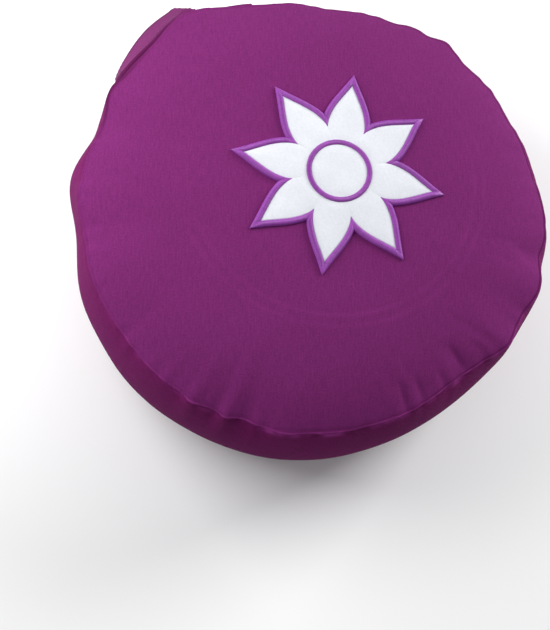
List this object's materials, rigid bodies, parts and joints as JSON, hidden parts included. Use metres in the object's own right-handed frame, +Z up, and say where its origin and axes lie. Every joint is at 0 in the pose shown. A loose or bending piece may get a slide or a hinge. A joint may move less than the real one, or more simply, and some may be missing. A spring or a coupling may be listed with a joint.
{
  "type": "zafu meditation cushion",
  "caption": "Round filled floor cushion with a crowned face, a side band, a sewn-on carry strap and a stitched rosette.",
  "frame": {"origin": "middle of the flat underside that the cushion rests on", "axes": "+Z up through the crowned face, +Y towards the middle of the carry strap, +X to the right of it seen from above"},
  "size_m": [0.3516, 0.3644, 0.129],
  "materials": {
    "cushion_cotton": "matte plain-weave cotton",
    "strap_cotton": "matte plain-weave cotton, folded and stitched",
    "white_cotton": "matte plain-weave cotton",
    "violet_thread": "satin embroidery thread"
  },
  "bodies": {
    "root": {"cushion": "cushion_cotton", "handle_strap": "strap_cotton", "applique_cloth": "white_cotton", "applique_edging": "violet_thread", "applique_ring": "violet_thread"}
  },
  "joints": []
}
